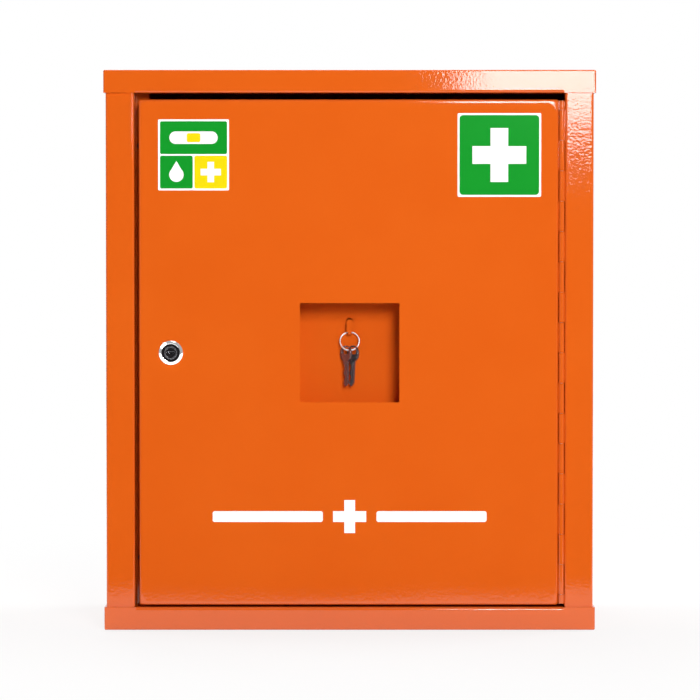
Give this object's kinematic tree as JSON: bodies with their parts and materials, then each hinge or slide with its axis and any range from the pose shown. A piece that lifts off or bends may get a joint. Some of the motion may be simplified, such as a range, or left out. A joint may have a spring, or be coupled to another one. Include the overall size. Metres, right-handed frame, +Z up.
{
  "type": "first aid cabinet",
  "caption": "Painted sheet steel wall cabinet for first aid supplies: hinged door with cam lock, shelves inside and a key niche behind a clear pane in the door.",
  "frame": {"origin": "middle of the cabinet's underside", "axes": "+X to the right as seen from the front, +Y to the wall at the back, +Z up; the door faces -Y"},
  "size_m": [0.43, 0.2012, 0.49],
  "materials": {
    "paint": "glossy orange powder coat",
    "zinc": "zinc plated steel",
    "chrome": "bright nickel chrome",
    "lock_face": "dark nickel",
    "key_steel": "nickel plated steel, polished",
    "rubber": "black rubber",
    "pane": "clear pane"
  },
  "bodies": {
    "cabinet": {"back_panel": "paint", "left_side_panel": "paint", "right_side_panel": "paint", "top_cap": "paint", "bottom_cap": "paint", "left_front_rail": "paint", "left_rear_rail": "paint", "right_front_rail": "paint", "right_rear_rail": "paint", "shelf_clips": "zinc", "lower_shelf": "paint", "upper_shelf": "paint", "door_buffers": "rubber", "hinge_frame_leaf": "paint", "hinge_pin": "zinc"},
    "door": {"door_panel": "paint", "door_hinge_leaf": "paint", "window_gasket": "rubber", "key_window": "pane", "key_box": "paint", "key_box_studs": "zinc", "key_box_nuts": "zinc", "lock_housing": "chrome", "lock_nut": "zinc"},
    "lock_core": {"lock_plug": "lock_face", "lock_cam": "zinc", "cam_screw": "zinc"},
    "ring": {"key_ring": "chrome"},
    "first_key": {"door_key": "key_steel"},
    "second_key": {"spare_key": "key_steel"}
  },
  "joints": [
    {"name": "door_hinge", "type": "hinge", "parent": "cabinet", "child": "door", "pos_m": [0.1854, -0.0968, 0.24305], "axis": [0, 0, 1], "range_deg": [0, 120]},
    {"name": "lock_turn", "type": "hinge", "parent": "door", "child": "lock_core", "pos_m": [-0.1564, -0.09, 0.24305], "axis": [0, 1, 0], "range_deg": [0, 90]},
    {"name": "ring_swing", "type": "hinge", "parent": "door", "child": "ring", "pos_m": [0, -0.0688, 0.2607], "axis": [0, 1, 0], "range_deg": [-10, 10]},
    {"name": "key_swing", "type": "hinge", "parent": "ring", "child": "first_key", "pos_m": [-0.00318, -0.07324, 0.24492], "axis": [-1, 0, 0], "range_deg": [0, 20]},
    {"name": "spare_key_swing", "type": "hinge", "parent": "ring", "child": "second_key", "pos_m": [0.00318, -0.07306, 0.24486], "axis": [-1, 0, 0], "range_deg": [0, 20]}
  ],
  "couplings": [
    {"joint": "spare_key_swing", "follows": "key_swing", "ratio": 1}
  ]
}
